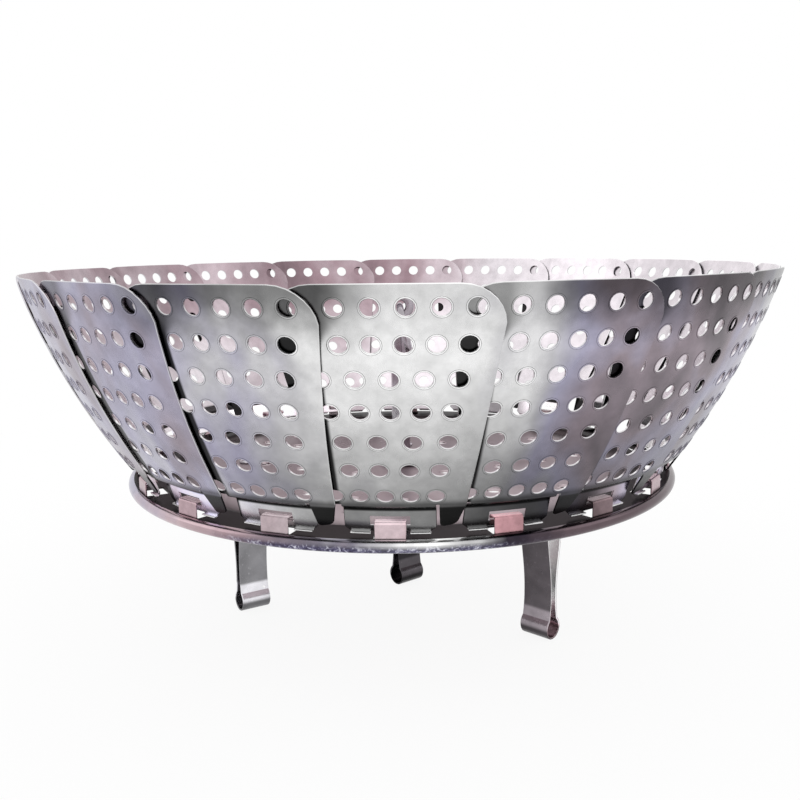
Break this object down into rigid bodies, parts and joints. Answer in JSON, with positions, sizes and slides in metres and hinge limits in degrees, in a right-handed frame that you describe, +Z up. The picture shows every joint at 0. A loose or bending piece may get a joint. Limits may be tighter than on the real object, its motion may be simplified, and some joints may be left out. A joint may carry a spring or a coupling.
{
  "type": "folding steamer basket",
  "caption": "Round folding steamer basket: perforated plate on folding legs, overlapping hinged petals that open as a bowl, and a centre post with a lifting ring.",
  "frame": {"origin": "on the ground under the middle of the plate, where the centre post's axis meets it", "axes": "+Z up along the centre post, -Y towards the front, +X to the right seen from the front"},
  "size_m": [0.2292, 0.2292, 0.1164],
  "materials": {
    "petal_steel": "satin rolled stainless sheet, 0.5 mm, with small burred steam holes",
    "plate_steel": "bright satin stainless sheet with a polished rolled edge",
    "leg_steel": "dull satin stainless strip, brighter on the bulb",
    "bracket_steel": "satin stainless channel",
    "fastener_steel": "bright stainless pins, rivets, washer and nut",
    "post_steel": "turned bright stainless rod",
    "wire_steel": "bright drawn stainless wire"
  },
  "bodies": {
    "base": {"base_plate": "plate_steel", "leg_bracket_1": "bracket_steel", "leg_bracket_2": "bracket_steel", "leg_bracket_3": "bracket_steel", "leg_pin_1": "fastener_steel", "leg_pin_2": "fastener_steel", "leg_pin_3": "fastener_steel", "bracket_rivet_1": "fastener_steel", "bracket_rivet_2": "fastener_steel", "bracket_rivet_3": "fastener_steel", "centre_post": "post_steel", "post_washer": "fastener_steel", "post_nut": "fastener_steel"},
    "petal_01": {"petal_01": "petal_steel"},
    "petal_02": {"petal_02": "petal_steel"},
    "petal_03": {"petal_03": "petal_steel"},
    "petal_04": {"petal_04": "petal_steel"},
    "petal_05": {"petal_05": "petal_steel"},
    "petal_06": {"petal_06": "petal_steel"},
    "petal_07": {"petal_07": "petal_steel"},
    "petal_08": {"petal_08": "petal_steel"},
    "petal_09": {"petal_09": "petal_steel"},
    "petal_10": {"petal_10": "petal_steel"},
    "petal_11": {"petal_11": "petal_steel"},
    "petal_12": {"petal_12": "petal_steel"},
    "petal_13": {"petal_13": "petal_steel"},
    "petal_14": {"petal_14": "petal_steel"},
    "petal_15": {"petal_15": "petal_steel"},
    "petal_16": {"petal_16": "petal_steel"},
    "petal_17": {"petal_17": "petal_steel"},
    "petal_18": {"petal_18": "petal_steel"},
    "leg_1": {"leg_1": "leg_steel"},
    "leg_2": {"leg_2": "leg_steel"},
    "leg_3": {"leg_3": "leg_steel"},
    "lifting_ring": {"lifting_ring": "wire_steel"}
  },
  "joints": [
    {"name": "petal_01_hinge", "type": "hinge", "parent": "base", "child": "petal_01", "pos_m": [-0.00291, -0.08335, 0.0552], "axis": [-0.9895, 0.114, -0.0894], "range_deg": [0, 80]},
    {"name": "petal_02_hinge", "type": "hinge", "parent": "base", "child": "petal_02", "pos_m": [0.02577, -0.07932, 0.0552], "axis": [-0.9688, -0.2313, -0.0894], "range_deg": [0, 80]},
    {"name": "petal_03_hinge", "type": "hinge", "parent": "base", "child": "petal_03", "pos_m": [0.05135, -0.06572, 0.0552], "axis": [-0.8313, -0.5487, -0.0894], "range_deg": [0, 80]},
    {"name": "petal_04_hinge", "type": "hinge", "parent": "base", "child": "petal_04", "pos_m": [0.07073, -0.04419, 0.0552], "axis": [-0.5935, -0.7999, -0.0894], "range_deg": [0, 80]},
    {"name": "petal_05_hinge", "type": "hinge", "parent": "base", "child": "petal_05", "pos_m": [0.08158, -0.01734, 0.0552], "axis": [-0.2841, -0.9546, -0.0894], "range_deg": [0, 80]},
    {"name": "petal_06_hinge", "type": "hinge", "parent": "base", "child": "petal_06", "pos_m": [0.08259, 0.01161, 0.0552], "axis": [0.0595, -0.9942, -0.0894], "range_deg": [0, 80]},
    {"name": "petal_07_hinge", "type": "hinge", "parent": "base", "child": "petal_07", "pos_m": [0.07364, 0.03915, 0.0552], "axis": [0.396, -0.9139, -0.0894], "range_deg": [0, 80]},
    {"name": "petal_08_hinge", "type": "hinge", "parent": "base", "child": "petal_08", "pos_m": [0.05581, 0.06198, 0.0552], "axis": [0.6847, -0.7234, -0.0894], "range_deg": [0, 80]},
    {"name": "petal_09_hinge", "type": "hinge", "parent": "base", "child": "petal_09", "pos_m": [0.03124, 0.07733, 0.0552], "axis": [0.8908, -0.4456, -0.0894], "range_deg": [0, 80]},
    {"name": "petal_10_hinge", "type": "hinge", "parent": "base", "child": "petal_10", "pos_m": [0.00291, 0.08335, 0.0552], "axis": [0.9895, -0.114, -0.0894], "range_deg": [0, 80]},
    {"name": "petal_11_hinge", "type": "hinge", "parent": "base", "child": "petal_11", "pos_m": [-0.02577, 0.07932, 0.0552], "axis": [0.9688, 0.2313, -0.0894], "range_deg": [0, 80]},
    {"name": "petal_12_hinge", "type": "hinge", "parent": "base", "child": "petal_12", "pos_m": [-0.05135, 0.06572, 0.0552], "axis": [0.8313, 0.5487, -0.0894], "range_deg": [0, 80]},
    {"name": "petal_13_hinge", "type": "hinge", "parent": "base", "child": "petal_13", "pos_m": [-0.07073, 0.04419, 0.0552], "axis": [0.5935, 0.7999, -0.0894], "range_deg": [0, 80]},
    {"name": "petal_14_hinge", "type": "hinge", "parent": "base", "child": "petal_14", "pos_m": [-0.08158, 0.01734, 0.0552], "axis": [0.2841, 0.9546, -0.0894], "range_deg": [0, 80]},
    {"name": "petal_15_hinge", "type": "hinge", "parent": "base", "child": "petal_15", "pos_m": [-0.08259, -0.01161, 0.0552], "axis": [-0.0595, 0.9942, -0.0894], "range_deg": [0, 80]},
    {"name": "petal_16_hinge", "type": "hinge", "parent": "base", "child": "petal_16", "pos_m": [-0.07364, -0.03915, 0.0552], "axis": [-0.396, 0.9139, -0.0894], "range_deg": [0, 80]},
    {"name": "petal_17_hinge", "type": "hinge", "parent": "base", "child": "petal_17", "pos_m": [-0.05581, -0.06198, 0.0552], "axis": [-0.6847, 0.7234, -0.0894], "range_deg": [0, 80]},
    {"name": "petal_18_hinge", "type": "hinge", "parent": "base", "child": "petal_18", "pos_m": [-0.03124, -0.07733, 0.0552], "axis": [-0.8908, 0.4456, -0.0894], "range_deg": [0, 80]},
    {"name": "leg_1_fold", "type": "hinge", "parent": "base", "child": "leg_1", "pos_m": [-0.05193, 0.00272, 0.044], "axis": [0.5299, -0.848, 0], "range_deg": [0, 90]},
    {"name": "leg_2_fold", "type": "hinge", "parent": "base", "child": "leg_2", "pos_m": [0.04326, -0.023, 0.044], "axis": [0.682, 0.7314, 0], "range_deg": [0, 90]},
    {"name": "leg_3_fold", "type": "hinge", "parent": "base", "child": "leg_3", "pos_m": [0.00136, 0.02596, 0.044], "axis": [0.6428, -0.766, 0], "range_deg": [0, 90]},
    {"name": "ring_swing", "type": "hinge", "parent": "base", "child": "lifting_ring", "pos_m": [0, 0, 0.1034], "axis": [0, -1, 0], "range_deg": [0, 336.9]}
  ],
  "couplings": [
    {"joint": "petal_02_hinge", "follows": "petal_01_hinge", "ratio": 1},
    {"joint": "petal_03_hinge", "follows": "petal_01_hinge", "ratio": 1},
    {"joint": "petal_04_hinge", "follows": "petal_01_hinge", "ratio": 1},
    {"joint": "petal_05_hinge", "follows": "petal_01_hinge", "ratio": 1},
    {"joint": "petal_06_hinge", "follows": "petal_01_hinge", "ratio": 1},
    {"joint": "petal_07_hinge", "follows": "petal_01_hinge", "ratio": 1},
    {"joint": "petal_08_hinge", "follows": "petal_01_hinge", "ratio": 1},
    {"joint": "petal_09_hinge", "follows": "petal_01_hinge", "ratio": 1},
    {"joint": "petal_10_hinge", "follows": "petal_01_hinge", "ratio": 1},
    {"joint": "petal_11_hinge", "follows": "petal_01_hinge", "ratio": 1},
    {"joint": "petal_12_hinge", "follows": "petal_01_hinge", "ratio": 1},
    {"joint": "petal_13_hinge", "follows": "petal_01_hinge", "ratio": 1},
    {"joint": "petal_14_hinge", "follows": "petal_01_hinge", "ratio": 1},
    {"joint": "petal_15_hinge", "follows": "petal_01_hinge", "ratio": 1},
    {"joint": "petal_16_hinge", "follows": "petal_01_hinge", "ratio": 1},
    {"joint": "petal_17_hinge", "follows": "petal_01_hinge", "ratio": 1},
    {"joint": "petal_18_hinge", "follows": "petal_01_hinge", "ratio": 1}
  ]
}
